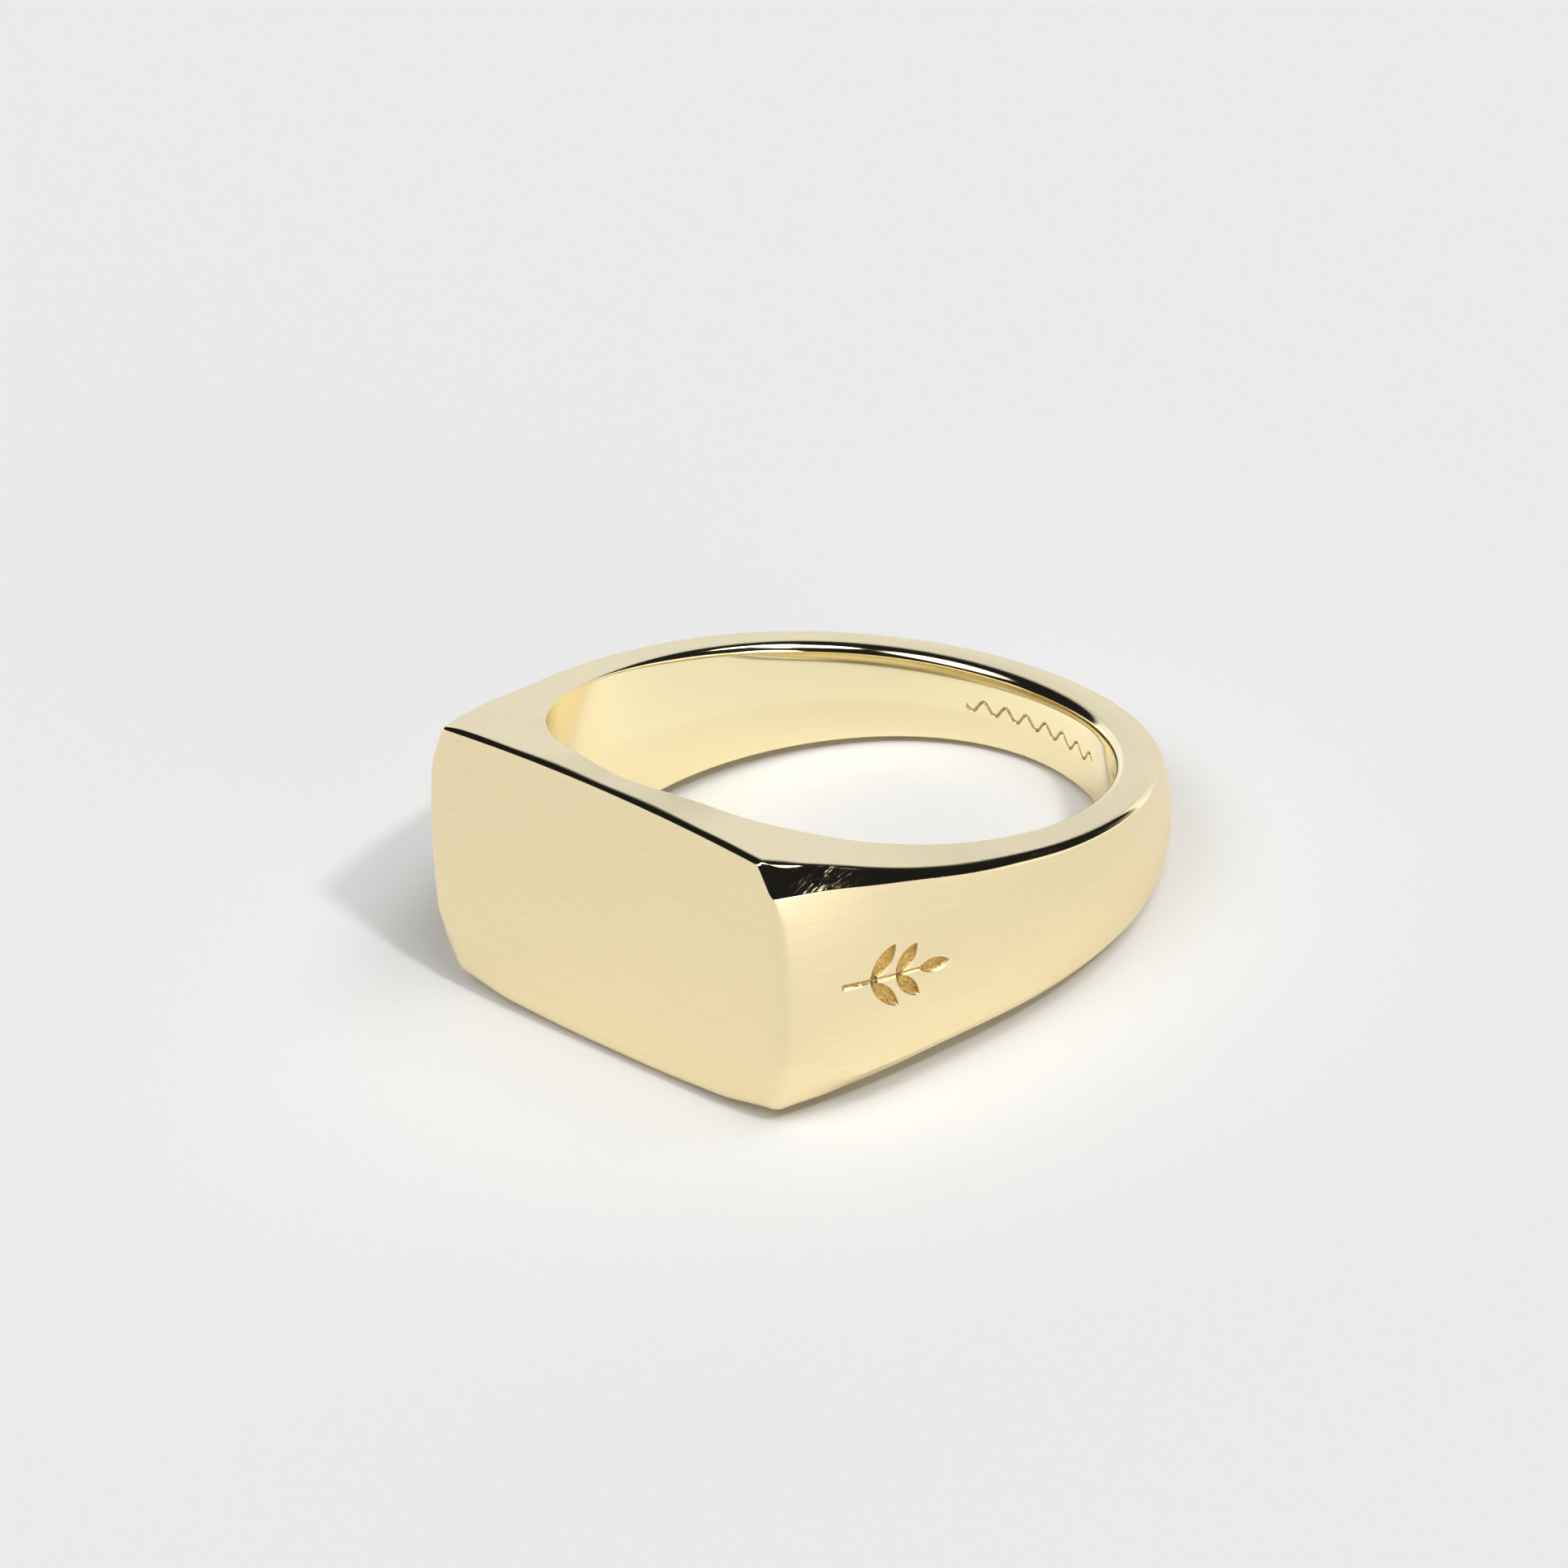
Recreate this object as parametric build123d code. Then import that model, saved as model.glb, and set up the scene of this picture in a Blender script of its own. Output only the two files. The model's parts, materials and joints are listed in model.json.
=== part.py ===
"""Signet ring in yellow gold, lying on its side. Millimetres, +Z up.

The ring is laid out upright first: finger axis along Z, signet face toward -Y, and angles
measured round the finger from the middle of the face.  It is then leaned back so that it lies
on the rim of its head and the edge of its shank, with its lowest point at Z = 0 and the
middle of its footprint at X = Y = 0.
"""
from build123d import *
from math import atan2, cos, degrees, pi, radians, sin
import os

os.makedirs("parts", exist_ok=True)

# ---- driving dimensions (mm, degrees) ----
BORE_R = 9.5            # finger size: 19 mm inside diameter
FACE_Y = 10.64          # finger axis to the signet face
TABLE_THICK = 0.55      # flat plate that carries the signet face
SOLDER = 0.06           # thickness of every solder seam
RIM_ROLL = 0.24         # broken edge all round the finger hole
FACE_ROLL = 0.20        # broken edge along the two long sides of the face
HEAD_END = 34.0         # the head block meets the shoulder
SHOULDER_END = 96.0     # the shoulder meets the shank
CROWN = 0.28            # how far the outside bulges between its two edges
MOTIF_ANGLE = 55.3      # middle of the leaf sprig engraved on the right shoulder
MOTIF_DEPTH = 0.18
LEAF_WIDTH = 0.52
LEAF_ANGLE = 48          # how far the side leaves stand off the stem
WAVE_ANGLE = 177.5      # middle of the wave engraved inside the shank
WAVE_LENGTH = 6.5
WAVE_DEPTH = 0.08

# Stations round the half ring.  Each one is:
# angle, half width at the hole, then radius and half width where the flat side ends,
# then radius and half width of the crisp outer edge.
STATIONS = [
    (0, 4.95, 12.60, 5.22, 14.20, 3.40),
    (18, 4.88, 12.90, 5.12, 14.40, 3.40),
    (30, 4.50, 13.20, 5.03, 14.20, 3.45),
    (38, 4.23, 12.85, 4.62, 13.48, 3.52),
    (45, 3.97, 12.15, 4.20, 12.80, 3.55),
    (52, 3.70, 11.75, 3.82, 12.22, 3.37),
    (60, 3.42, 11.40, 3.42, 11.66, 3.10),
    (70, 3.10, 11.08, 3.05, 11.26, 2.76),
    (80, 2.83, 10.92, 2.79, 11.08, 2.50),
    (90, 2.59, 10.86, 2.54, 11.03, 2.28),
    (110, 2.20, 10.87, 2.12, 11.05, 1.95),
    (130, 1.87, 10.94, 1.76, 11.14, 1.63),
    (155, 1.54, 11.00, 1.45, 11.20, 1.34),
    (180, 1.40, 11.00, 1.31, 11.22, 1.20),
]

# Lean that brings the rim of the head and the edge of the shank onto one level.
HEAD_REST = (-(BORE_R + RIM_ROLL), -STATIONS[0][1])
SHANK_REST = (STATIONS[-1][2], -STATIONS[-1][3])
LEAN = degrees(atan2(SHANK_REST[1] - HEAD_REST[1], SHANK_REST[0] - HEAD_REST[0]))


def at(angle, radius, z):
    """A point given by its angle round the finger, its distance from the axis and its height."""
    return Vector(radius * sin(radians(angle)), -radius * cos(radians(angle)), z)


def section(angle, half, flat_r, flat_z, edge_r, edge_z):
    """The closed outline of the metal in the plane through the finger axis at one angle."""
    hidden = 0.7 + RIM_ROLL
    upper = [
        at(angle, BORE_R + RIM_ROLL - hidden, half - hidden),
        at(angle, BORE_R + RIM_ROLL, half),
        at(angle, flat_r, flat_z),
        at(angle, edge_r, edge_z),
    ]
    lower = [Vector(p.X, p.Y, -p.Z) for p in upper]
    edges = [Line(a, b) for a, b in zip(upper, upper[1:])]
    edges.append(ThreePointArc(upper[-1], at(angle, edge_r + CROWN, 0), lower[-1]))
    edges += [Line(b, a) for a, b in reversed(list(zip(lower, lower[1:])))]
    edges.append(Line(lower[0], upper[0]))
    return Wire(edges)


def right_blank():
    """The right half of the ring, with its hole and its flat signet face cut."""
    before = [(-s[0], *s[1:]) for s in reversed(STATIONS[1:3])]
    after = [(360 - s[0], *s[1:]) for s in reversed(STATIONS[-3:-1])]
    loft_sections = [section(*s) for s in before + STATIONS + after]
    keep = Pos(20, 20 - FACE_Y, 0) * Box(40, 40, 40)
    blank = Solid.make_loft(loft_sections) & keep
    return blank - Cylinder(BORE_R, 40)


def broken_face_edges(blank):
    """Break the long edges of the signet face and soften its edge with the shoulder."""
    face = blank.faces().sort_by(Axis.Y)[0]
    by_length = face.edges().sort_by(SortBy.LENGTH)
    long_edges = [e for e in by_length if abs(e.center().Z) > 4 and e.length > 4]
    return chamfer(long_edges, FACE_ROLL)


def wedge(start, end):
    """A tall slice of space between two angles round the finger, up to 180 apart."""
    steps = 6
    rim = [at(start + (end - start) * i / steps, 40, 0) for i in range(steps + 1)]
    outline = Polyline((0, 0), *[(p.X, p.Y) for p in rim], close=True)
    return Pos(0, 0, -10) * extrude(make_face(outline), 20)


def seam_slice(angle):
    """A parallel-sided slice of space, one solder seam thick, at one angle round the finger."""
    return Rot(0, 0, angle) * Pos(0, -20, 0) * Box(SOLDER, 40, 40)


def layer(near, far):
    """The slab of space between two distances in front of the finger axis."""
    return Pos(0, -(near + far) / 2, 0) * Box(60, far - near, 40)


def leaf(x, y, length, width, angle):
    """A pointed leaf lying in a plane, its foot at x, y."""
    tip = (length, 0)
    upper = ThreePointArc((0, 0), (length * 0.45, width / 2), tip)
    lower = ThreePointArc(tip, (length * 0.45, -width / 2), (0, 0))
    return Pos(x, y) * Rot(0, 0, angle) * make_face(upper + lower)


def motif_cut():
    """A sprig of five leaves on a stem, as a cutter that reaches the engraving's floor."""
    stem = Pos(-0.5, 0) * Rectangle(2.9, 0.15)
    sprig = stem + leaf(0.85, 0, 1.2, LEAF_WIDTH, 0)
    for x, length in [(-0.95, 1.55), (0.0, 1.3)]:
        sprig += leaf(x, 0, length, LEAF_WIDTH, LEAF_ANGLE)
        sprig += leaf(x, 0, length, LEAF_WIDTH, -LEAF_ANGLE)
    foot = at(MOTIF_ANGLE, 11.96, 0)
    ahead = at(MOTIF_ANGLE + 8, 11.66, 0)
    behind = at(MOTIF_ANGLE - 8, 12.56, 0)
    along = (ahead - behind).normalized()
    outward = Vector(-along.Y, along.X, 0) * -1
    place = Plane(origin=foot + outward * (CROWN - MOTIF_DEPTH), x_dir=along, z_dir=outward)
    return extrude(place * sprig, 1.5)


def wave_cut():
    """A running wave round the inside of the shank, as a cutter of even depth."""
    count = 60
    half_turn = degrees(WAVE_LENGTH / 2 / BORE_R)
    line = []
    for i in range(count + 1):
        share = i / count
        angle = WAVE_ANGLE + half_turn * (2 * share - 1)
        line.append((BORE_R * sin(radians(angle)), 0.2 * sin(share * 7 * 2 * pi)))
    upper = [(x, z + 0.07) for x, z in line]
    lower = [(x, z - 0.07) for x, z in reversed(line)]
    ribbon = make_face(Polyline(*upper, *lower, close=True))
    reach = extrude(Plane(origin=(0, 5, 0), x_dir=(1, 0, 0), z_dir=(0, 1, 0)) * ribbon, 10)
    return reach & Cylinder(BORE_R + WAVE_DEPTH, 10)


def build_pieces():
    """Every separate piece of the ring, still upright, by name."""
    right = broken_face_edges(right_blank())
    plate_back = FACE_Y - TABLE_THICK
    seam_back = plate_back - SOLDER
    behind_table = right & layer(-20, seam_back)
    seams = seam_slice(HEAD_END) + seam_slice(SHOULDER_END)
    solid_metal = behind_table - seams
    halves = {
        "signet_table": right & layer(plate_back, 20),
        "table_solder": right & layer(seam_back, plate_back),
        "head_block": solid_metal & wedge(-10, HEAD_END),
        "shank_back": solid_metal & wedge(SHOULDER_END, 190),
    }
    pieces = {name: half + mirror(half, about=Plane.YZ) for name, half in halves.items()}
    shoulder = solid_metal & wedge(HEAD_END, SHOULDER_END)
    sides = {
        "shoulder": shoulder,
        "head_solder": behind_table & seam_slice(HEAD_END),
        "shank_solder": behind_table & seam_slice(SHOULDER_END),
    }
    for name, piece in sides.items():
        pieces["right_" + name] = piece
        pieces["left_" + name] = mirror(piece, about=Plane.YZ)
    pieces["right_shoulder"] = pieces["right_shoulder"] - motif_cut()
    pieces["shank_back"] = pieces["shank_back"] - wave_cut()
    return pieces


def lay_down(pieces):
    """Lean the ring onto its side and put the middle of its footprint at the origin."""
    leaned = {name: Rot(-LEAN, 0, 0) * piece for name, piece in pieces.items()}
    boxes = [piece.bounding_box(optimal=True) for piece in leaned.values()]
    middle_y = (min(b.min.Y for b in boxes) + max(b.max.Y for b in boxes)) / 2
    shift = Pos(0, -middle_y, -min(b.min.Z for b in boxes))
    print("lean", round(LEAN, 3), "middle of the finger hole", shift.position)
    return {name: shift * piece for name, piece in leaned.items()}


if __name__ == "__main__":
    for node, shape in lay_down(build_pieces()).items():
        print(node, len(shape.solids()), round(shape.volume, 3))
        export_step(shape, f"parts/{node}.step")
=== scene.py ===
"""Looks for the signet ring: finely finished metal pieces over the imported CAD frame."""
import json
import math

import bmesh
import bpy
import numpy as np
from mathutils import Matrix, Vector


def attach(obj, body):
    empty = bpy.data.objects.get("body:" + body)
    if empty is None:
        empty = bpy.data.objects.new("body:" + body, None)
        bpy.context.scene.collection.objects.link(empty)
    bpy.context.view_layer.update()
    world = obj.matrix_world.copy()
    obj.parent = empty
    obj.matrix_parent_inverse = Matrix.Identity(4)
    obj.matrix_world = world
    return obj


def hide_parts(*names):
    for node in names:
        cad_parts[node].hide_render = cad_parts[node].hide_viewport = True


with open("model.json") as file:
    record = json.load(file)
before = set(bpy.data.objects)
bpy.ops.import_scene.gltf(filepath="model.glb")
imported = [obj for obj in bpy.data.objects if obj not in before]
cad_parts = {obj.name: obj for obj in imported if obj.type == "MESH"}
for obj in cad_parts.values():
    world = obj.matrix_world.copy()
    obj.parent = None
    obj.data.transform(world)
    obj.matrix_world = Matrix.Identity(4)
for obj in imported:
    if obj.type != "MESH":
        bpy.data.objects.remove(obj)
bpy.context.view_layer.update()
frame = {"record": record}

MM = 0.001                # a millimetre, in metres

# ---- the ring's own numbers, in millimetres and in degrees round the finger ----
# In the ring's frame u is to the right, v is toward the back and w is the finger axis.
# Angles count from the middle of the face toward +u.
BORE_R = 9.5
FACE_Y = 10.64            # from the finger axis to the flat face
TABLE_BACK = 10.09        # the back of the face plate
SEAM_BACK = 10.03         # the back of the solder sheet behind it
HEAD_END = 34.0
SHOULDER_END = 96.0
SEAM_HALF = 0.16          # half a solder seam, in degrees
RIM_R = 9.74              # where the stations measure the half width beside the hole
CROWN = 0.28              # how far the outside bulges in its middle
OUTER_SCALE = 0.95        # turns the outside's radial distance into about a true one

# angle, half width beside the hole, radius and half width where the flat side ends,
# radius and half width of the outer edge
STATIONS = np.array([
    (0, 4.95, 12.60, 5.22, 14.20, 3.40),
    (18, 4.88, 12.90, 5.12, 14.40, 3.40),
    (30, 4.50, 13.20, 5.03, 14.20, 3.45),
    (38, 4.23, 12.85, 4.62, 13.48, 3.52),
    (45, 3.97, 12.15, 4.20, 12.80, 3.55),
    (52, 3.70, 11.75, 3.82, 12.22, 3.37),
    (60, 3.42, 11.40, 3.42, 11.66, 3.10),
    (70, 3.10, 11.08, 3.05, 11.26, 2.76),
    (80, 2.83, 10.92, 2.79, 11.08, 2.50),
    (90, 2.59, 10.86, 2.54, 11.03, 2.28),
    (110, 2.20, 10.87, 2.12, 11.05, 1.95),
    (130, 1.87, 10.94, 1.76, 11.14, 1.63),
    (155, 1.54, 11.00, 1.45, 11.20, 1.34),
    (180, 1.40, 11.00, 1.31, 11.22, 1.20),
])

# the face: half width in its middle, and how much less that is FACE_BOW_AT to either side
FACE_HALF = 4.92
FACE_BOW = 0.29
FACE_BOW_AT = 7.5
FACE_BEVEL = (0.20, 0.27)         # slope of the bevel on its long edges, as two legs
FACE_BEVEL_LENGTH = 0.336

# how widely each edge is rounded, and what is added to that in places
EDGE_ROUND, EDGE_ROUND_BACK, EDGE_ROUND_WORN = 0.02, 0.30, 0.50
SIDE_ROUND, SIDE_ROUND_BACK, SIDE_ROUND_CORNER = 0.09, 0.20, 0.24
FRONT_ROUND, FRONT_ROUND_MIDDLE = 0.12, 0.30
BEVEL_ROUND = 0.06
RIM_ROUND, RIM_ROUND_BACK = 0.07, 0.27
FLARE = 0.13
FLARE_DEPTH = 0.75                # how far below the rim the flare starts
WORN_CORNER = 0.8                 # how much more the lower corners are worn

# Spans give where a change starts and how wide it is, in degrees or millimetres.
# The ones used with falls() give where it ends.
BACK_SPAN = (112, 45)
LOW_SPAN = (2.0, 1.0)
LEFT_SPAN = (7.3, 0.9)
HEAD_SPAN = (52, 12)
WORN_CORNER_SPAN = (26, 9)
MIDDLE_SPAN = (3.7, 1.6)
RIM_SPAN = (72, 35)
UPPER_RIM_SPAN = (-0.5, 1)
FLARE_SPAN = (100, 30)
POLISH_END_SPAN = (130, 18)
UPPER_EDGE_SPAN = (-2, 1)
CORNER_HUMP = (38.5, 2.8)         # middle and width of the soft corner of the head
SCUFF_HUMP = (45.5, 3.5)          # and of the scuffed part of its facet


def smooth_curve(x, y):
    """Cubic spline through the points, level at both ends. Returns a function of x."""
    n = len(x)
    h = np.diff(x)
    a = np.zeros((n, n))
    b = np.zeros(n)
    a[0, 0], a[0, 1] = 2 * h[0], h[0]
    b[0] = 6 * (y[1] - y[0]) / h[0]
    a[-1, -1], a[-1, -2] = 2 * h[-1], h[-1]
    b[-1] = -6 * (y[-1] - y[-2]) / h[-1]
    for i in range(1, n - 1):
        a[i, i - 1:i + 2] = h[i - 1], 2 * (h[i - 1] + h[i]), h[i]
        b[i] = 6 * ((y[i + 1] - y[i]) / h[i] - (y[i] - y[i - 1]) / h[i - 1])
    m = np.linalg.solve(a, b)

    def at(t):
        i = np.clip(np.searchsorted(x, t) - 1, 0, n - 2)
        d, left, right = h[i], x[i + 1] - t, t - x[i]
        return ((m[i] * left ** 3 + m[i + 1] * right ** 3) / (6 * d)
                + (y[i] / d - m[i] * d / 6) * left
                + (y[i + 1] / d - m[i + 1] * d / 6) * right)
    return at


CURVES = [smooth_curve(STATIONS[:, 0], STATIONS[:, k]) for k in range(1, 6)]


def smooth_max(a, b, k):
    """The larger of two distances, rounded over where they differ by less than k."""
    return np.maximum(a, b) + np.maximum(k - np.abs(a - b), 0) ** 2 / (4 * k)


def rises(x, start, width):
    """0 before start, 1 after start + width, and smooth between them."""
    x = np.clip((x - start) / width, 0, 1)
    return x * x * (3 - 2 * x)


def falls(x, end, width):
    """1 before end - width, 0 after end, and smooth between them."""
    return rises(end - x, 0, width)


def hump(x, middle, width):
    return np.exp(-((x - middle) / width) ** 2)


def parts_of(u, v, z):
    """Radius and angle of points, and their distances to the surfaces that bound the metal.

    Distances are negative on the metal's side. The ring is the same above and below."""
    r = np.hypot(u, v)
    turn = np.degrees(np.arctan2(np.abs(u), -v))
    half, flat_r, flat_z, edge_r, edge_z = (c(turn) for c in CURVES)
    z = np.abs(z)
    slope = (flat_z - half) / (flat_r - RIM_R)
    side = (z - half - slope * (r - RIM_R)) / np.sqrt(1 + slope ** 2)
    dr, dz = edge_r - flat_r, edge_z - flat_z
    bevel = ((z - flat_z) * dr - (r - flat_r) * dz) / np.hypot(dr, dz)
    bulge = CROWN * (1 - (z / edge_z) ** 2)
    outer = (r - edge_r - bulge) * OUTER_SCALE
    face = -v - FACE_Y
    face_half = FACE_HALF - FACE_BOW * (u / FACE_BOW_AT) ** 2
    face_bevel = (face * FACE_BEVEL[0] + (z - face_half) * FACE_BEVEL[1]) / FACE_BEVEL_LENGTH
    return r, turn, side, bevel, outer, face, face_bevel


def rim_roll(turn, w):
    """How widely the bore's rim is rounded: crisp at the head and below, soft at the shank."""
    return RIM_ROUND + RIM_ROUND_BACK * rises(turn, *RIM_SPAN) * rises(w, *UPPER_RIM_SPAN)


def flare(turn, w):
    """How far the back of the bore opens out just below its upper rim, as in a comfort fit."""
    half = CURVES[0](turn)
    share = np.clip((w - half + FLARE_DEPTH) / FLARE_DEPTH, 0, 1)
    return FLARE * rises(turn, *FLARE_SPAN) * share ** 2


def field(u, v, w):
    """Below zero inside the metal and zero on its finished surface."""
    r, turn, side, bevel, outer, face, face_bevel = parts_of(u, v, w)
    away = rises(turn, *BACK_SPAN)
    low = rises(-w, *LOW_SPAN)
    hidden = np.maximum(rises(-u, *LEFT_SPAN), low)
    worn = hidden * falls(turn, *HEAD_SPAN)
    worn = worn * (1 + WORN_CORNER * low * rises(turn, *WORN_CORNER_SPAN))
    edge = EDGE_ROUND + EDGE_ROUND_BACK * away + EDGE_ROUND_WORN * worn
    roll = SIDE_ROUND + SIDE_ROUND_BACK * away + SIDE_ROUND_CORNER * hump(turn, *CORNER_HUMP)
    corner = FRONT_ROUND + FRONT_ROUND_MIDDLE * falls(np.abs(w), *MIDDLE_SPAN)
    top = smooth_max(side, smooth_max(bevel, face_bevel, BEVEL_ROUND), roll)
    front = smooth_max(face, outer, corner)
    whole = smooth_max(top, front, edge)
    return smooth_max(whole, BORE_R + flare(turn, w) - r, rim_roll(turn, w))


# ---- the two carved ornaments, in place of marks: a leaf sprig outside, a wave inside ----
SPRIG_TURN = 55.3
SPRIG_R = 11.96
SPRIG_ENDS = ((-8, 12.56), (8, 11.66))      # angle from SPRIG_TURN and radius
STEM_MIDDLE, STEM_REACH = -0.5, 1.37        # along the stem
STEM_HALF, STEM_TAPER = 0.08, 0.2
# stalk end along the stem, angle to it and length of each leaf
LEAVES = ((-0.95, -48, 1.55), (-0.95, 48, 1.55), (0.0, -48, 1.3), (0.0, 48, 1.3),
          (0.85, 0, 1.2))
LEAF_WIDTH = 0.52
SPRIG_DEPTH = 0.16
WAVE_TURN = 177.5
WAVE_COUNT, WAVE_RUN = 7, 6.5
WAVE_HEIGHT, WAVE_LINE_HALF = 0.2, 0.055
WAVE_DEPTH = 0.045
OUTSIDE_R = 10.6                            # all that is farther out is the outside
INSIDE_R = 10.0                             # and all that is nearer in is the bore
# how far into the outline the carving starts and how wide its bank is
SPRIG_BANK = (-0.01, 0.09)
WAVE_BANK = (-0.01, 0.05)


def ring_point(turn, r, z):
    a = np.radians(turn)
    return r * np.sin(a), -r * np.cos(a), z


def sprig_frame():
    """Middle of the sprig and the direction of its stem, in the plane of u and v."""
    a, b = (np.array(ring_point(SPRIG_TURN + d, r, 0.0)[:2]) for d, r in SPRIG_ENDS)
    origin = np.array(ring_point(SPRIG_TURN, SPRIG_R, 0.0)[:2])
    return origin, (b - a) / np.linalg.norm(b - a)


def leaf(x, y, start, angle, length):
    """How far each point lies inside a pointed leaf whose stalk end is at (start, 0)."""
    c, s = math.cos(math.radians(angle)), math.sin(math.radians(angle))
    p = (x - start) * c + y * s - length / 2
    q = np.abs(-(x - start) * s + y * c)
    radius = (length ** 2 + LEAF_WIDTH ** 2) / (4 * LEAF_WIDTH)
    return radius - np.hypot(p, q + radius - LEAF_WIDTH / 2)


def sprig(u, v, w):
    """How far each point lies inside the outline of the sprig, in millimetres."""
    origin, along = sprig_frame()
    x = (u - origin[0]) * along[0] + (v - origin[1]) * along[1]
    past_end = np.maximum(np.abs(x - STEM_MIDDLE) - STEM_REACH, 0)
    inside = STEM_HALF * (1 - STEM_TAPER * x) - np.hypot(past_end, w)
    for start, angle, length in LEAVES:
        inside = np.maximum(inside, leaf(x, w, start, angle, length))
    return inside


def wave(u, v, w):
    """How far each point lies inside the wavy ribbon on the bore's wall."""
    turn = np.degrees(np.arctan2(u, -v)) % 360
    s = BORE_R * np.radians(turn - WAVE_TURN)
    k = 2 * math.pi * WAVE_COUNT / WAVE_RUN
    slope = WAVE_HEIGHT * k * np.cos(k * s)
    off_line = np.abs(w + WAVE_HEIGHT * np.sin(k * s)) / np.sqrt(1 + slope ** 2)
    return np.minimum(WAVE_LINE_HALF - off_line, WAVE_RUN / 2 - np.abs(s))


def carved_outside(u, v, w):
    depth = SPRIG_DEPTH * rises(sprig(u, v, w), *SPRIG_BANK)
    return field(u, v, w) + np.where(np.hypot(u, v) > OUTSIDE_R, depth, 0)


def carved_inside(u, v, w):
    depth = WAVE_DEPTH * rises(wave(u, v, w), *WAVE_BANK)
    return field(u, v, w) + np.where(np.hypot(u, v) < INSIDE_R, depth, 0)


# ---- sections of the ring ----
BISECTIONS = 40
SETTLE_ROUNDS = 7
FIELD_PROBE = 1e-4                # half the distance over which a slope is measured
LEAST_STEEP = 0.2                 # keeps a Newton step finite where the field is flat
NORMAL_PROBE = 2e-3
HALF_WIDTH_LIMIT = 6.0            # the outer corner is sought from the middle to here
FLAT_SIDE_LIMITS = (9.8, 14.5)    # and the end of the flat side between these radii
LEAST_COS = 0.3                   # keeps the face's radius finite away from the face

# where rows of points gather: their greatest reach, and share of the room there is
RIM_DEPTH = 0.6
RIM_REACH, EDGE_REACH, REACH_SHARE = 0.55, 0.30, 0.42
CORNER_REACH, CORNER_SHARE = 0.10, 0.3
BAND_SHARE = 0.9
# rows in each stretch of a section, in order from the bore's middle band to the outer one
WALL_ROWS, RIM_ROWS_BELOW, RIM_ROWS_ABOVE = 9, 24, 20
FLAT_ROWS, FLAT_END_ROWS = 10, 9
BEVEL_ROWS, CORNER_ROWS_ABOVE, CORNER_ROWS_BELOW = 14, 5, 5
OUTSIDE_ROWS = 14
# half width of the band along the middle of the bore or the outside, and its rows
PLAIN_BORE, WAVE_BORE = (0.3, 3), (0.32, 13)
PLAIN_OUTSIDE, SPRIG_OUTSIDE = (1.0, 7), (1.5, 54)


def solve(function, low, high):
    """Where a rising function crosses zero between low and high, for arrays."""
    low, high = low.copy(), high.copy()
    for _ in range(BISECTIONS):
        middle = (low + high) / 2
        above = function(middle) > 0
        high = np.where(above, middle, high)
        low = np.where(above, low, middle)
    return (low + high) / 2


def outline(turn, inner=PLAIN_BORE, outer=PLAIN_OUTSIDE):
    """First points (r, z) of the upper half of each section, from inside to outside middle.

    inner and outer are the bands along the middle, where the carving is."""
    folded = 180 - np.abs(180 - np.abs(turn))
    half, flat_r, flat_z, edge_r, edge_z = (c(folded) for c in CURVES)
    face_r = FACE_Y / np.maximum(np.cos(np.radians(turn)), LEAST_COS)
    slope = (flat_z - half) / (flat_r - RIM_R)
    zero = np.zeros_like(turn)

    def outer_r(z):
        return np.minimum(face_r, edge_r + CROWN * (1 - (z / edge_z) ** 2))

    def top_of(r, z):
        _, _, side, bevel, _, _, face_bevel = parts_of(*ring_point(turn, r, z))
        return side, np.maximum(bevel, face_bevel)

    corner_z = solve(lambda z: np.maximum(*top_of(outer_r(z), z)),
                     zero, zero + HALF_WIDTH_LIMIT)
    corner_r = outer_r(corner_z)
    flat_end = solve(lambda r: top_of(r, half + slope * (r - RIM_R))[1],
                     *(zero + limit for limit in FLAT_SIDE_LIMITS))
    flat_end_z = half + slope * (flat_end - RIM_R)
    rim_z = half + slope * (BORE_R - RIM_R)
    span = flat_end - BORE_R
    roll = np.minimum(RIM_REACH, REACH_SHARE * span)
    near = np.minimum(EDGE_REACH, REACH_SHARE * (span - roll))
    run = np.hypot(corner_r - flat_end, corner_z - flat_end_z)
    crisp = np.minimum(CORNER_REACH, CORNER_SHARE * run) / np.maximum(run, 1e-6)
    low_z = corner_z - CORNER_REACH
    band = np.minimum(outer[0], low_z * BAND_SHARE)

    # r, z and the rows from there to the next point
    straight = [
        (BORE_R, zero, inner[1]),
        (BORE_R, zero + inner[0], WALL_ROWS),
        (BORE_R, rim_z - RIM_DEPTH, RIM_ROWS_BELOW),
        (BORE_R, rim_z, RIM_ROWS_ABOVE),
        (BORE_R + roll, rim_z + slope * roll, FLAT_ROWS),
        (flat_end - near, flat_end_z - slope * near, FLAT_END_ROWS),
        (flat_end, flat_end_z, BEVEL_ROWS),
        (corner_r + (flat_end - corner_r) * crisp,
         corner_z + (flat_end_z - corner_z) * crisp, CORNER_ROWS_ABOVE),
        (corner_r, corner_z, 0),
    ]
    rows = []
    for (r0, z0, count), (r1, z1, _) in zip(straight, straight[1:]):
        for s in np.linspace(0, 1, count, endpoint=False):
            rows.append((r0 + (r1 - r0) * s, z0 + (z1 - z0) * s))
    round_outside = ((corner_z, low_z, CORNER_ROWS_BELOW), (low_z, band, OUTSIDE_ROWS),
                     (band, zero, outer[1]), (zero, zero, 1))
    for z0, z1, count in round_outside:
        for s in np.linspace(0, 1, count, endpoint=False):
            z = z0 + (z1 - z0) * s
            rows.append((outer_r(z), z))
    r, z = (np.array([np.broadcast_to(row[k], turn.shape) for row in rows]) for k in (0, 1))
    return r.T, z.T


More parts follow.
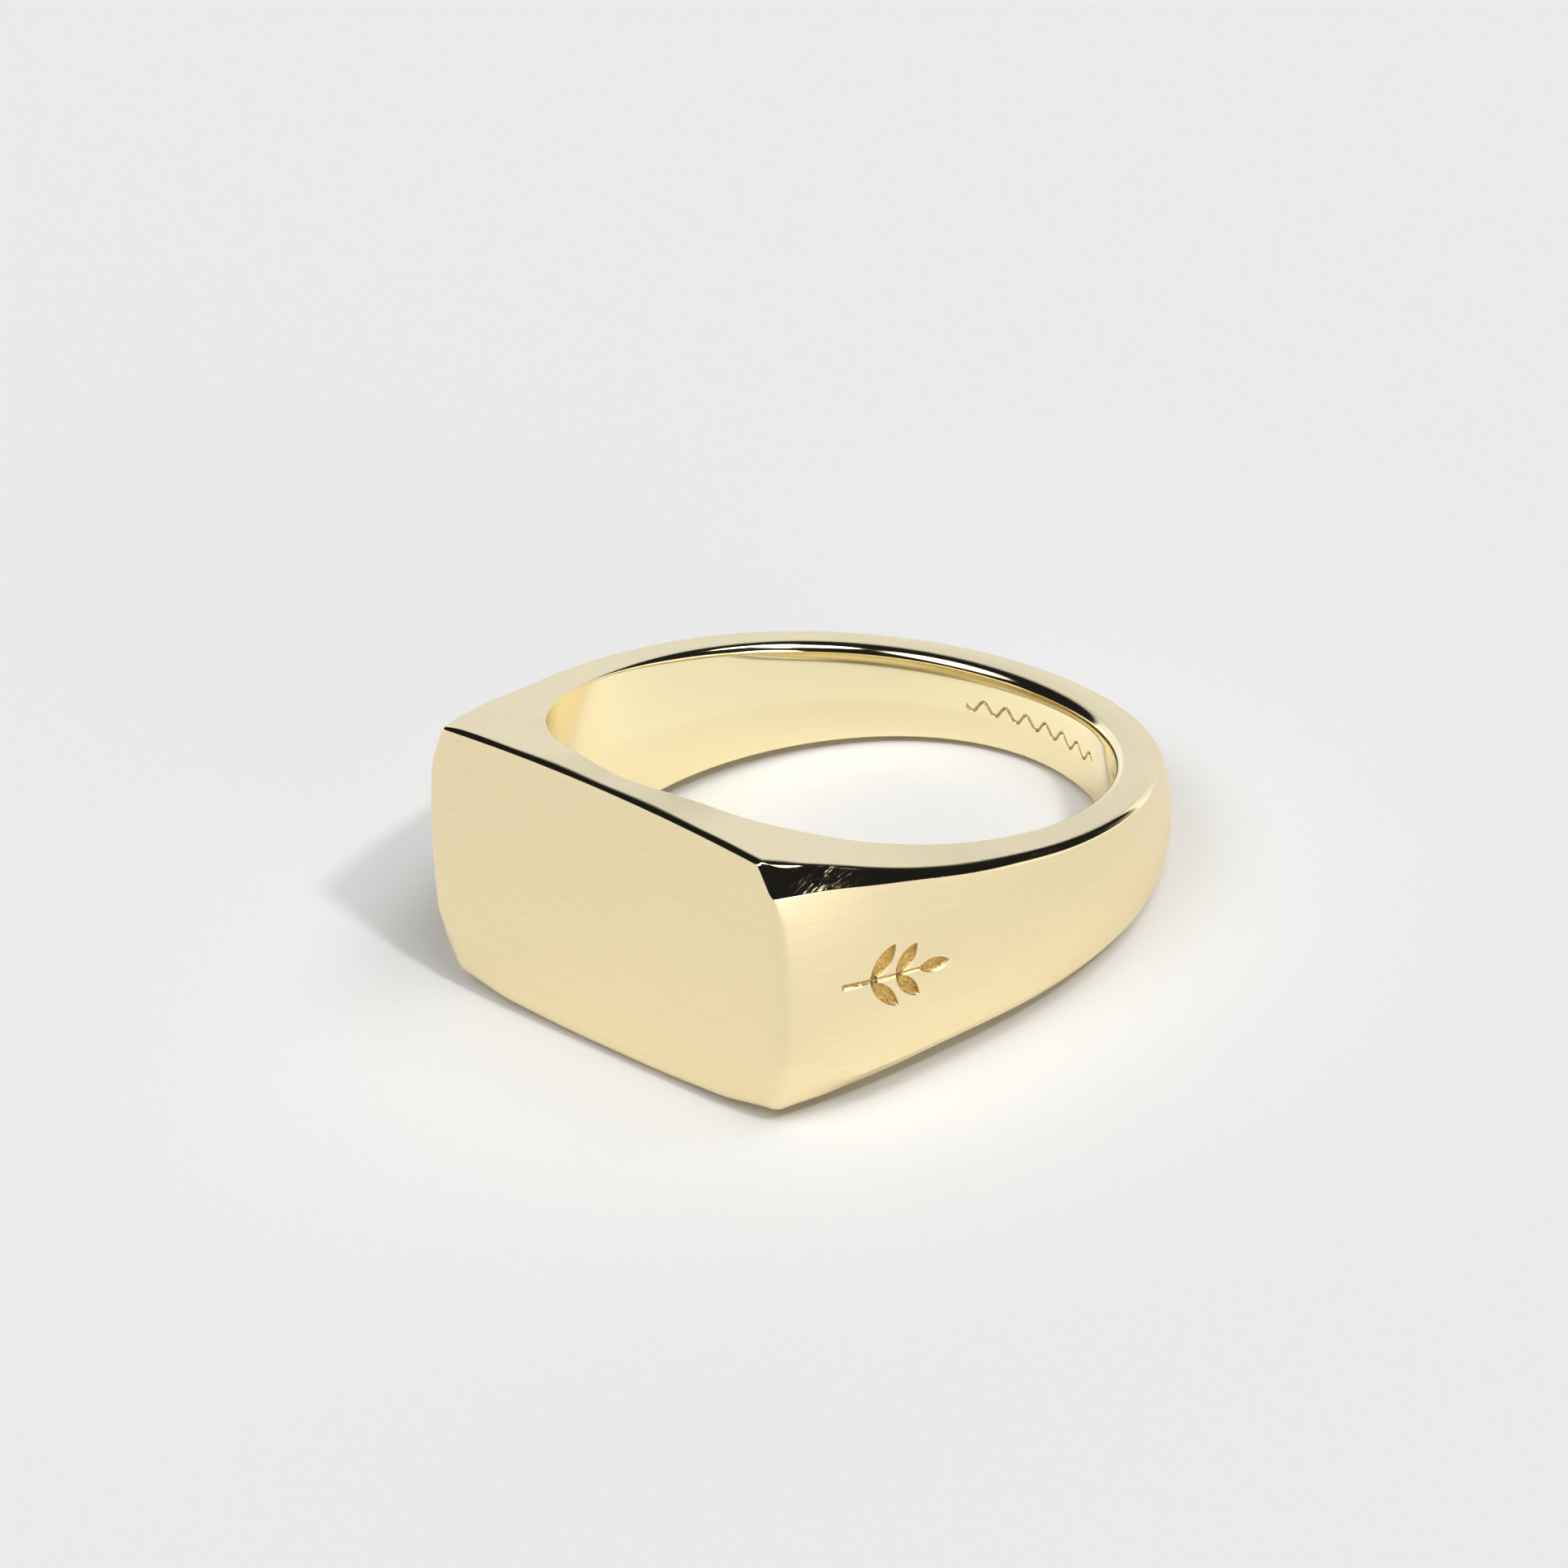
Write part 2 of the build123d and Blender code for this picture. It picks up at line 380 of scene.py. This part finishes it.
def settle(turn, r, z, surface):
    """Move each point of each section onto the finished surface, without leaving its section."""
    t = turn[:, None]
    e = FIELD_PROBE

    def value(r, z):
        return surface(*ring_point(t, r, z))

    for _ in range(SETTLE_ROUNDS):
        f = value(r, z)
        gr = (value(r + e, z) - value(r - e, z)) / (2 * e)
        gz = (value(r, z + e) - value(r, z - e)) / (2 * e)
        size = np.maximum(gr ** 2 + gz ** 2, LEAST_STEEP)
        r = r - f * gr / size
        z = z - f * gz / size
    return r, z


def surface_grid(turn, surface, **bands):
    """The whole closed section at each angle, as (angles, points round, 3) in the ring's frame."""
    r, z = outline(turn, **bands)
    r, z = settle(turn, r, z, field)
    r = np.concatenate([r, r[:, -2:0:-1]], 1)
    z = np.concatenate([z, -z[:, -2:0:-1]], 1)
    r, z = settle(turn, r, z, surface)
    return np.stack(np.broadcast_arrays(*ring_point(turn[:, None], r, z)), -1)


def normals_at(points, surface):
    n = np.zeros_like(points)
    for k in range(3):
        d = np.zeros(3)
        d[k] = NORMAL_PROBE
        a, b = points + d, points - d
        n[:, k] = surface(*a.T) - surface(*b.T)
    return n / np.maximum(np.linalg.norm(n, axis=1), 1e-9)[:, None]


# ---- from the ring's frame to the row's frame ----
BORE = next(m for m in frame["record"]["mounts"] if m["name"] == "finger_bore")
E_W = np.array(BORE["axis"], float)
E_W /= np.linalg.norm(E_W)
E_U = np.array([1.0, 0.0, 0.0])
E_V = np.cross(E_W, E_U)
TO_ROW = np.stack([E_U, E_V, E_W])
CENTRE = np.array(BORE["pos_m"], float)


def to_row(p):
    return np.asarray(p) @ TO_ROW * MM + CENTRE


# ---- pieces ----
COARSE_STEP = 0.7                           # between sections, in degrees
FACE_REACH = 46                             # angle past the ends of the face plate
# start, end and step of the angles that need close sections
CORNER_BANDS = ((-42, -32.5, 0.11), (32.5, 42, 0.11))
SPRIG_BAND = (45.5, 66.5, 0.13)
WAVE_BAND = (157, 198, 0.15)
CUT_SNAP = 1e-7

# marks of the finish: start and width of each change, in millimetres
EDGE_MARK = (-0.015, 0.03)
EDGE_MARK_CORNER = 0.12                     # how much wider the mark is at the soft corner
BORE_MARK_SHARE, BORE_MARK_WIDTH = 0.76, 0.12
SPRIG_MARK = (-0.01, 0.05)
WAVE_MARK = (-0.005, 0.03)


def angles(start, end, *carved_bands):
    """Angles from start to end, close together where the surface turns or is carved."""
    bands = CORNER_BANDS + carved_bands
    marks = {m for low, high, _ in bands for m in (low, high) if start < m < end}
    marks = sorted(marks | {start, end})
    out = [np.array([start])]
    for a, b in zip(marks, marks[1:]):
        steps = [step for low, high, step in bands if low <= (a + b) / 2 <= high]
        count = max(2, int(round((b - a) / min(steps + [COARSE_STEP]))) + 1)
        out.append(np.linspace(a, b, count)[1:])
    return np.concatenate(out)


def arc(way, start, end, *carved_bands):
    """Angles of an arc on the right, or of its mirror image on the left when way is -1."""
    if way < 0:
        start, end = -end, -start
    return angles(start, end, *carved_bands)


def closed_mesh(grid):
    """A bmesh of a swept section with flat ends."""
    rows, cols = grid.shape[:2]
    bm = bmesh.new()
    verts = [bm.verts.new(p) for p in grid.reshape(-1, 3)]
    for i in range(rows - 1):
        for j in range(cols):
            k = (j + 1) % cols
            bm.faces.new((verts[i * cols + j], verts[i * cols + k],
                          verts[(i + 1) * cols + k], verts[(i + 1) * cols + j]))
    bm.faces.new([verts[j] for j in reversed(range(cols))])
    bm.faces.new([verts[(rows - 1) * cols + j] for j in range(cols)])
    return bm


def slice_off(bm, point, normal):
    """Cut the mesh with a plane, drop what is on the normal's side and close the cut."""
    geometry = bm.verts[:] + bm.edges[:] + bm.faces[:]
    cut = bmesh.ops.bisect_plane(bm, geom=geometry, dist=CUT_SNAP, plane_co=point,
                                 plane_no=normal, clear_outer=True)
    edges = [e for e in cut["geom_cut"] if isinstance(e, bmesh.types.BMEdge)]
    bmesh.ops.holes_fill(bm, edges=edges, sides=0)


def finish_marks(points):
    """Where the metal is polished, scuffed or carved, as values from 0 to 1 at each point. The
    bore's mark also places a painted lighter tint there.
    """
    u, v, w = points.T
    r, turn, side, bevel, outer, face, face_bevel = parts_of(u, v, w)
    edge = np.maximum(bevel, face_bevel)
    spread_up = EDGE_MARK_CORNER * hump(turn, *CORNER_HUMP)
    rest = np.maximum(side - spread_up, np.maximum(face, outer))
    broken = rises(edge - rest, *EDGE_MARK)
    broken *= falls(turn, *POLISH_END_SPAN) * rises(w, *UPPER_EDGE_SPAN)
    bore_end = BORE_R + BORE_MARK_SHARE * rim_roll(turn, w) + flare(turn, w)
    inside = falls(r, bore_end, BORE_MARK_WIDTH)
    scuffed = hump(turn, *SCUFF_HUMP) * (u > 0) * broken
    carved = np.where(r > OUTSIDE_R, rises(sprig(u, v, w), *SPRIG_MARK) * (u > 0), 0)
    carved = np.where(r < INSIDE_R, rises(wave(u, v, w), *WAVE_MARK), carved)
    return {"broken_edge": broken, "inside": inside, "scuffed": scuffed, "carved": carved}


PIECES = {}


def make_piece(name, node, turn, slot, front=None, back=None, surface=field, **bands):
    """One piece between the first and last angle, cut off in front of front and behind back."""
    bm = closed_mesh(surface_grid(turn, surface, **bands))
    if front is not None:
        slice_off(bm, (0, -front, 0), (0, -1, 0))
    if back is not None:
        slice_off(bm, (0, -back, 0), (0, 1, 0))
    bmesh.ops.recalc_face_normals(bm, faces=bm.faces[:])
    mesh = bpy.data.meshes.new(name)
    bm.to_mesh(mesh)
    bm.free()
    points = np.zeros(len(mesh.vertices) * 3)
    mesh.vertices.foreach_get("co", points)
    points = points.reshape(-1, 3)
    normals = normals_at(points, surface) @ TO_ROW
    mesh.vertices.foreach_set("co", to_row(points).ravel())
    for key, values in finish_marks(points).items():
        layer = mesh.attributes.new(key, "FLOAT", "POINT")
        layer.data.foreach_set("value", values.astype(np.float32))
    place = mesh.attributes.new("ring_place", "FLOAT_VECTOR", "POINT")
    place.data.foreach_set("vector", points.astype(np.float32).ravel())
    mesh.polygons.foreach_set("use_smooth", np.ones(len(mesh.polygons), bool))
    mesh.update()
    mesh.normals_split_custom_set_from_vertices(normals.tolist())
    obj = bpy.data.objects.new(name, mesh)
    bpy.context.scene.collection.objects.link(obj)
    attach(obj, "root")
    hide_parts(node)
    PIECES[name] = obj


FACE_TURN = angles(-FACE_REACH, FACE_REACH)
make_piece("face_plate", "signet_table", FACE_TURN, "gold_face", back=TABLE_BACK)
make_piece("plate_solder", "table_solder", FACE_TURN, "gold_solder",
           front=TABLE_BACK, back=SEAM_BACK)
make_piece("head", "head_block", angles(-HEAD_END + SEAM_HALF, HEAD_END - SEAM_HALF),
           "gold_band", front=SEAM_BACK)
for hand, way, finish, carved_bands in (
        ("left", -1, {}, ()),
        ("right", 1, {"surface": carved_outside, "outer": SPRIG_OUTSIDE}, (SPRIG_BAND,))):
    make_piece(hand + "_head_seam", hand + "_head_solder",
               arc(way, HEAD_END - SEAM_HALF, HEAD_END + SEAM_HALF),
               "gold_solder", front=SEAM_BACK)
    make_piece(hand + "_shoulder_piece", hand + "_shoulder",
               arc(way, HEAD_END + SEAM_HALF, SHOULDER_END - SEAM_HALF, *carved_bands),
               "gold_band", front=SEAM_BACK, **finish)
    make_piece(hand + "_shank_seam", hand + "_shank_solder",
               arc(way, SHOULDER_END - SEAM_HALF, SHOULDER_END + SEAM_HALF),
               "gold_solder")
make_piece("shank", "shank_back",
           angles(SHOULDER_END + SEAM_HALF, 360 - SHOULDER_END - SEAM_HALF, WAVE_BAND),
           "gold_band", surface=carved_inside, inner=WAVE_BORE)


# ---- materials ----
class Nodes:
    """Short ways to add and join shader nodes."""

    def __init__(self, tree):
        self.tree = tree

    def add(self, kind, **settings):
        node = self.tree.nodes.new("ShaderNode" + kind)
        for key, value in settings.items():
            setattr(node, key, value)
        return node

    def put(self, value, socket):
        if isinstance(value, bpy.types.NodeSocket):
            self.tree.links.new(value, socket)
        else:
            socket.default_value = value

    def join(self, node, *values):
        """Give the node's inputs their values in order and return its first output."""
        for value, socket in zip(values, node.inputs):
            self.put(value, socket)
        return node.outputs[0]

    def math(self, operation, *values, clamp=False):
        return self.join(self.add("Math", operation=operation, use_clamp=clamp), *values)

    def mix(self, share, a, b):
        """A mix of two colours."""
        return self.join(self.add("MixRGB"), share, a, b)

    def blend(self, share, a, b):
        """A mix of two numbers."""
        node = self.add("Mix")
        for value, socket in zip((share, a, b), node.inputs[0:1] + node.inputs[2:4]):
            self.put(value, socket)
        return node.outputs[0]

    def ramp(self, value, low, high, start=0.0, end=1.0, kind="SMOOTHSTEP"):
        """From start where the value is low to end where it is high."""
        return self.join(self.add("MapRange", interpolation_type=kind),
                         value, low, high, start, end)

    def toward(self, ray, axis):
        """Cosine of the angle between a ray and a direction."""
        node = self.add("VectorMath", operation="DOT_PRODUCT")
        self.put(ray, node.inputs[0])
        node.inputs[1].default_value = axis
        return node.outputs["Value"]

    def mark(self, name, output="Fac"):
        return self.add("Attribute", attribute_name=name).outputs[output]

    def noise(self, place, scale, detail=2.0, roughness=0.5):
        stretch = self.add("Mapping")
        self.put(place, stretch.inputs["Vector"])
        stretch.inputs["Scale"].default_value = scale
        node = self.add("TexNoise")
        self.put(stretch.outputs[0], node.inputs["Vector"])
        node.inputs["Scale"].default_value = 1.0
        node.inputs["Detail"].default_value = detail
        node.inputs["Roughness"].default_value = roughness
        return node.outputs["Fac"]


# noises in the ring's frame: cycles per millimetre along u, v and w, detail, roughness
BRUSHED = ((0.5, 0.5, 22.0), 3.0, 0.6)      # runs round the ring
GRAIN = ((5.0, 5.0, 9.0), 3.0, 0.6)
CLOUD = ((0.35, 0.35, 0.5), 2.0)
PITS = ((13.0, 13.0, 13.0), 3.0, 0.75)
SCRATCHES = ((20.0, 1.6, 1.6), 4.0, 0.7)
BRUSHED_SHARE, GRAIN_SHARE = 0.65, 0.35
SHADE_CONTRAST = 1.5
PITS_FROM, PITS_CONTRAST = 0.34, 3.0
SCRATCHES_FROM = 0.54

# the tint is multiplied by these in the brushing's furrows and ridges, and in the bore, where the
# lighter tint is painted light that makes the bore look more brightly lit
DEEP, PALE, BORE_PAINTED_LIGHT = (0.94, 0.925, 0.88), (1.06, 1.075, 1.12), (1.08, 1.11, 1.13)
CARVED_DEEP, CARVED_PALE = (0.52, 0.28, 0.04, 1), (1.0, 0.79, 0.35, 1)

SATIN_ROUGH, SATIN_ROUGH_TEXTURE, SATIN_ROUGH_CLOUD = 0.25, 0.14, 0.06
EDGE_ROUGH, BORE_ROUGH, CARVED_ROUGH = 0.045, 0.075, 0.24
SCRATCH_WEAR, SCRATCH_WEAR_SCUFFED = 0.4, 2.0
BUMP_HEIGHT = 0.000012                      # metres
SATIN_BUMP, CARVED_BUMP = 0.5, 2.0


def tinted(tint, change):
    return tuple(min(1.0, c * d) for c, d in zip(tint, change)) + (1,)


def gold(name, tint):
    """Yellow gold: satin where it is brushed, bright where an edge or the bore is polished, with
    painted light in the bore as a lighter tint.
    """
    material = bpy.data.materials.new(name)
    material.use_nodes = True
    n = Nodes(material.node_tree)
    shader = material.node_tree.nodes["Principled BSDF"]
    shader.inputs["Metallic"].default_value = 1.0
    place = n.mark("ring_place", "Vector")
    inside, carved = n.mark("inside"), n.mark("carved")
    polish = n.math("MAXIMUM", n.mark("broken_edge"), inside)
    satin = n.math("SUBTRACT", 1.0, polish)
    texture = n.math("ADD", n.math("MULTIPLY", n.noise(place, *BRUSHED), BRUSHED_SHARE),
                     n.math("MULTIPLY", n.noise(place, *GRAIN), GRAIN_SHARE))
    pits = n.math("MULTIPLY", n.math("SUBTRACT", n.noise(place, *PITS), PITS_FROM),
                  PITS_CONTRAST, clamp=True)

    shade = n.math("MULTIPLY", n.math("SUBTRACT", texture, 0.5), SHADE_CONTRAST)
    shade = n.math("ADD", n.math("MULTIPLY", shade, satin), 0.5, clamp=True)
    skin = n.mix(shade, tinted(tint, DEEP), tinted(tint, PALE))
    # painted light: the bore gets a lighter tint so that it looks more brightly lit
    skin = n.mix(inside, skin, tinted(tint, BORE_PAINTED_LIGHT))
    carved_floor = n.mix(pits, CARVED_DEEP, CARVED_PALE)
    n.put(n.mix(carved, skin, carved_floor), shader.inputs["Base Color"])

    cloud = n.math("SUBTRACT", n.noise(place, *CLOUD), 0.5)
    rough = n.math("ADD", SATIN_ROUGH, n.math("MULTIPLY", texture, SATIN_ROUGH_TEXTURE))
    rough = n.math("ADD", rough, n.math("MULTIPLY", cloud, SATIN_ROUGH_CLOUD))
    scratch = n.math("SUBTRACT", n.noise(place, *SCRATCHES), SCRATCHES_FROM, clamp=True)
    wear = n.math("ADD", n.math("MULTIPLY", n.mark("scuffed"), SCRATCH_WEAR_SCUFFED),
                  SCRATCH_WEAR)
    bright = n.math("ADD", n.math("MULTIPLY", scratch, wear), EDGE_ROUGH)
    bright = n.blend(inside, bright, BORE_ROUGH)
    rough = n.blend(carved, n.blend(polish, rough, bright), CARVED_ROUGH)
    n.put(rough, shader.inputs["Roughness"])

    bump = n.add("Bump")
    bump.inputs["Distance"].default_value = BUMP_HEIGHT
    n.put(n.math("MAXIMUM", n.math("MULTIPLY", satin, SATIN_BUMP), carved),
          bump.inputs["Strength"])
    n.put(n.blend(carved, texture, n.math("MULTIPLY", pits, CARVED_BUMP)),
          bump.inputs["Height"])
    n.put(bump.outputs[0], shader.inputs["Normal"])
    return material


GOLD = gold("yellow_gold", (0.945, 0.800, 0.505))
SOLDER = gold("solder_gold", (0.940, 0.802, 0.515))
for piece in PIECES.values():
    seam = piece.name.endswith(("seam", "solder"))
    piece.data.materials.append(SOLDER if seam else GOLD)

# ---- floor ----
FLOOR_HALF = 1                              # metres
FIBRE = ((2500, 2500, 2500), 4.0, 0.6)      # cycles per metre, detail, roughness
PAPER = (0.815, 0.82, 0.825, 1), (0.845, 0.85, 0.855, 1)
# paler paper round the ring: a painted pool of light
PAPER_PAINTED_GLOW = (0.825, 0.830, 0.835, 1), (0.855, 0.86, 0.865, 1)
GLOW_FROM, GLOW_TO = 0.013, 0.034           # metres from the middle of the ring

floor_mesh = bpy.data.meshes.new("floor")
corners = [(x * FLOOR_HALF, y * FLOOR_HALF, 0) for x, y in ((-1, -1), (1, -1), (1, 1), (-1, 1))]
floor_mesh.from_pydata(corners, [], [(0, 1, 2, 3)])
floor = bpy.data.objects.new("floor", floor_mesh)
bpy.context.scene.collection.objects.link(floor)
paper = bpy.data.materials.new("paper")
paper.use_nodes = True
shader = paper.node_tree.nodes["Principled BSDF"]
shader.inputs["Roughness"].default_value = 0.9
shader.inputs["Specular IOR Level"].default_value = 0.1
n = Nodes(paper.node_tree)
spot = n.add("TexCoord").outputs["Object"]
fibre = n.noise(spot, *FIBRE)
reach = n.add("VectorMath", operation="LENGTH")
n.put(spot, reach.inputs[0])
# painted light: the paper is paler close to the ring, as if it were more brightly lit there
painted_glow = n.ramp(reach.outputs["Value"], GLOW_FROM, GLOW_TO, 1.0, 0.0, "SMOOTHERSTEP")
tone = n.mix(painted_glow, n.mix(fibre, *PAPER), n.mix(fibre, *PAPER_PAINTED_GLOW))
n.put(tone, shader.inputs["Base Color"])
floor_mesh.materials.append(paper)

# ---- light: softboxes painted on a dark studio with pale walls, and a weak sun ----
# azimuth, elevation, radius and blur in degrees, strength, colour
SOFTBOXES = [
    (3, 62, 14, 3, 4.2, (1.0, 1.0, 1.0)),
    (-103, 60, 15, 11, 2.7, (1.0, 0.995, 0.985)),
    (50, 58, 10, 2, 4.0, (1.0, 1.0, 1.0)),
    (-15, 6, 11, 5, 4.0, (1.0, 0.99, 0.97)),
]
COOL_SIDE = (140, 5)                        # azimuth and elevation
COOL_FROM, COOL_TO = 0.66, 0.90             # cosines of the angle from there
WALL_FROM, WALL_TO = 0.09, 0.22             # sines of the elevation where the walls end
WALL_RAISED = 0.26                          # how much higher they reach on the cool side
WALL_WARM, WALL_COOL = (1.35, 1.33, 1.29, 1), (0.94, 0.99, 1.06, 1)
CEILING = (0.012, 0.013, 0.015, 1)
SUN_FROM = (0, 48)                          # azimuth and elevation
SUN_ENERGY, SUN_ANGLE = 0.9, 5


def direction(azimuth, elevation):
    """Unit vector in the row's frame; azimuth is counted from +X toward +Y."""
    a, e = math.radians(azimuth), math.radians(elevation)
    return Vector((math.cos(a) * math.cos(e), math.sin(a) * math.cos(e), math.sin(e)))


world = bpy.data.worlds.new("studio")
bpy.context.scene.world = world
world.use_nodes = True
n = Nodes(world.node_tree)
ray = n.add("TexCoord").outputs["Generated"]
height = n.toward(ray, (0, 0, 1))
cool = n.ramp(n.toward(ray, direction(*COOL_SIDE)), COOL_FROM, COOL_TO)
height = n.math("SUBTRACT", height, n.math("MULTIPLY", cool, WALL_RAISED))
walls = n.ramp(height, WALL_FROM, WALL_TO, 1.0, 0.0)
colour = n.mix(walls, CEILING, n.mix(cool, WALL_WARM, WALL_COOL))
for azimuth, elevation, radius, blur, strength, tone in SOFTBOXES:
    lit = n.ramp(n.toward(ray, direction(azimuth, elevation)),
                 math.cos(math.radians(radius + blur)), math.cos(math.radians(radius)))
    colour = n.mix(lit, colour, tuple(c * strength for c in tone) + (1,))
sky = world.node_tree.nodes["Background"]
n.put(colour, sky.inputs["Color"])
sky.inputs["Strength"].default_value = 1.0

key_data = bpy.data.lights.new("key", "SUN")
key_data.energy = SUN_ENERGY
key_data.angle = math.radians(SUN_ANGLE)
key = bpy.data.objects.new("key", key_data)
key.rotation_euler = direction(*SUN_FROM).to_track_quat("Z", "Y").to_euler()
bpy.context.scene.collection.objects.link(key)
bpy.context.scene.view_settings.view_transform = "Standard"

# ---- camera ----
IMAGE_PX = 1932
SENSOR_MM = 36
CLIP = (0.01, 10)                           # metres


def look_from(azimuth, elevation, roll, distance, focal_px, target):
    """Camera stated in the ring's own frame: the angles from which the ring is seen."""
    a, e, t = (math.radians(x) for x in (azimuth, elevation, roll))
    back = np.array([math.sin(a) * math.cos(e), -math.cos(a) * math.cos(e), math.sin(e)])
    right = np.array([math.cos(a), math.sin(a), 0])
    up = np.cross(back, right)
    right, up = (math.cos(t) * right + math.sin(t) * up,
                 -math.sin(t) * right + math.cos(t) * up)
    eye = np.array(target) + back * distance
    data = bpy.data.cameras.new("camera")
    data.sensor_width = SENSOR_MM
    data.lens = focal_px / IMAGE_PX * SENSOR_MM
    data.clip_start, data.clip_end = CLIP
    camera = bpy.data.objects.new("camera", data)
    bpy.context.scene.collection.objects.link(camera)
    turn = Matrix([list(right @ TO_ROW), list(up @ TO_ROW), list(back @ TO_ROW)]).transposed()
    camera.matrix_world = Matrix.Translation(Vector(to_row(eye))) @ turn.to_4x4()
    bpy.context.scene.camera = camera


look_from(47.115, 26.098, -2.322, 401.0, 14639, (-1.374, -0.923, 1.051))
